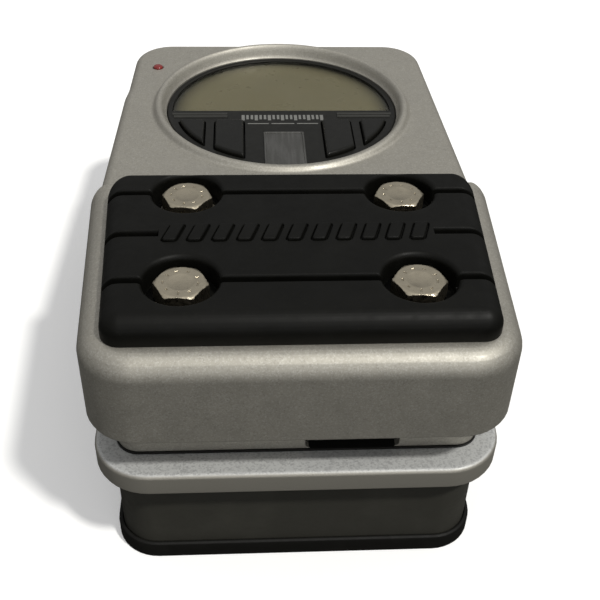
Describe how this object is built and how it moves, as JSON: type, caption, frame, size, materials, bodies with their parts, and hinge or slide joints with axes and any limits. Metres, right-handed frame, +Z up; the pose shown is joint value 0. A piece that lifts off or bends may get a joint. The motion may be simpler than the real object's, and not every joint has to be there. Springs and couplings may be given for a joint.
{
  "type": "foot pedal tuner",
  "caption": "Foot-operated strobe tuner pedal with a hinged treadle, ribbed rubber pad, round display well with push buttons, cast housing and black rubber-footed base tub.",
  "frame": {"origin": "on the floor plane, under the middle of the cast flange", "axes": "+X to the player's right, +Y away from the player from the treadle to the display end, +Z up"},
  "size_m": [0.0836, 0.1299, 0.0565],
  "materials": {
    "silver_paint": "fine metallic silver paint, satin, faint flake",
    "foot_rubber": "matte black rubber",
    "tub_plastic": "satin black",
    "pad_rubber": "matte moulded rubber with a soft sheen at the edges",
    "stainless": "stainless steel, satin faces, bright edges",
    "zinc_steel": "zinc plated",
    "spring_steel": "bright wire",
    "bright_chrome": "polished",
    "fascia_plastic": "satin black",
    "button_plastic": "satin black, slightly worn",
    "black_plastic": "matte black",
    "grey_satin": "satin dark grey",
    "clear_lens": "clear, slightly smoked",
    "lcd_grey": "grey-green liquid crystal glass",
    "white_diffuser": "milky",
    "red_lens": "tinted red",
    "board_green": "solder mask",
    "spacer_brass": "turned",
    "battery_wrap": "plain wrap"
  },
  "bodies": {
    "chassis": {"rubber_foot": "foot_rubber", "base_tub": "tub_plastic", "base_screws": "zinc_steel", "housing": "silver_paint", "slot_insert": "black_plastic", "hinge_pin": "zinc_steel", "return_springs": "spring_steel", "footswitch_body": "black_plastic", "footswitch_nut": "zinc_steel", "fascia": "fascia_plastic", "display_lens": "clear_lens", "lcd_panel": "lcd_grey", "backlight": "white_diffuser", "centre_plaque": "grey_satin", "button_switches": "black_plastic", "power_led": "red_lens", "display_board": "board_green", "board_screws": "zinc_steel", "board_spacers": "spacer_brass", "main_board": "board_green", "input_jack": "black_plastic", "output_jack": "black_plastic", "jack_washers": "zinc_steel", "jack_nuts": "bright_chrome", "dc_inlet": "black_plastic", "lift_switch_body": "black_plastic", "battery": "battery_wrap", "battery_snap": "black_plastic"},
    "treadle_body": {"treadle": "silver_paint", "treadle_pad": "pad_rubber", "pad_washers": "stainless", "pad_bolts": "stainless", "pad_nuts": "zinc_steel"},
    "plunger": {"footswitch_plunger": "bright_chrome"},
    "outer_left": {"button_outer_left": "button_plastic"},
    "inner_left": {"button_inner_left": "button_plastic"},
    "inner_right": {"button_inner_right": "button_plastic"},
    "outer_right": {"button_outer_right": "button_plastic"},
    "lift_lever": {"lift_switch_lever": "button_plastic"}
  },
  "joints": [
    {"name": "treadle_press", "type": "hinge", "parent": "chassis", "child": "treadle_body", "pos_m": [0, -0.0165, 0.0432], "axis": [1, 0, 0], "range_deg": [0, 5], "stiffness_Nm_per_rad": 6, "springref_deg": -3.44, "deforming": ["return_springs"]},
    {"name": "plunger_press", "type": "slide", "parent": "chassis", "child": "plunger", "axis": [0, 0, -1], "range_m": [0, 0.0018]},
    {"name": "outer_left_press", "type": "slide", "parent": "chassis", "child": "outer_left", "axis": [0, 0, -1], "range_m": [0, 0.0006], "stiffness_N_per_m": 400, "springref_m": -0.0005},
    {"name": "inner_left_press", "type": "slide", "parent": "chassis", "child": "inner_left", "axis": [0, 0, -1], "range_m": [0, 0.0006], "stiffness_N_per_m": 400, "springref_m": -0.0005},
    {"name": "inner_right_press", "type": "slide", "parent": "chassis", "child": "inner_right", "axis": [0, 0, -1], "range_m": [0, 0.0006], "stiffness_N_per_m": 400, "springref_m": -0.0005},
    {"name": "outer_right_press", "type": "slide", "parent": "chassis", "child": "outer_right", "axis": [0, 0, -1], "range_m": [0, 0.0006], "stiffness_N_per_m": 400, "springref_m": -0.0005},
    {"name": "lift_slide", "type": "slide", "parent": "chassis", "child": "lift_lever", "axis": [1, 0, 0], "range_m": [0, 0.004]}
  ],
  "couplings": [
    {"joint": "plunger_press", "follows": "treadle_press", "m_per_rad": 0.0205}
  ]
}
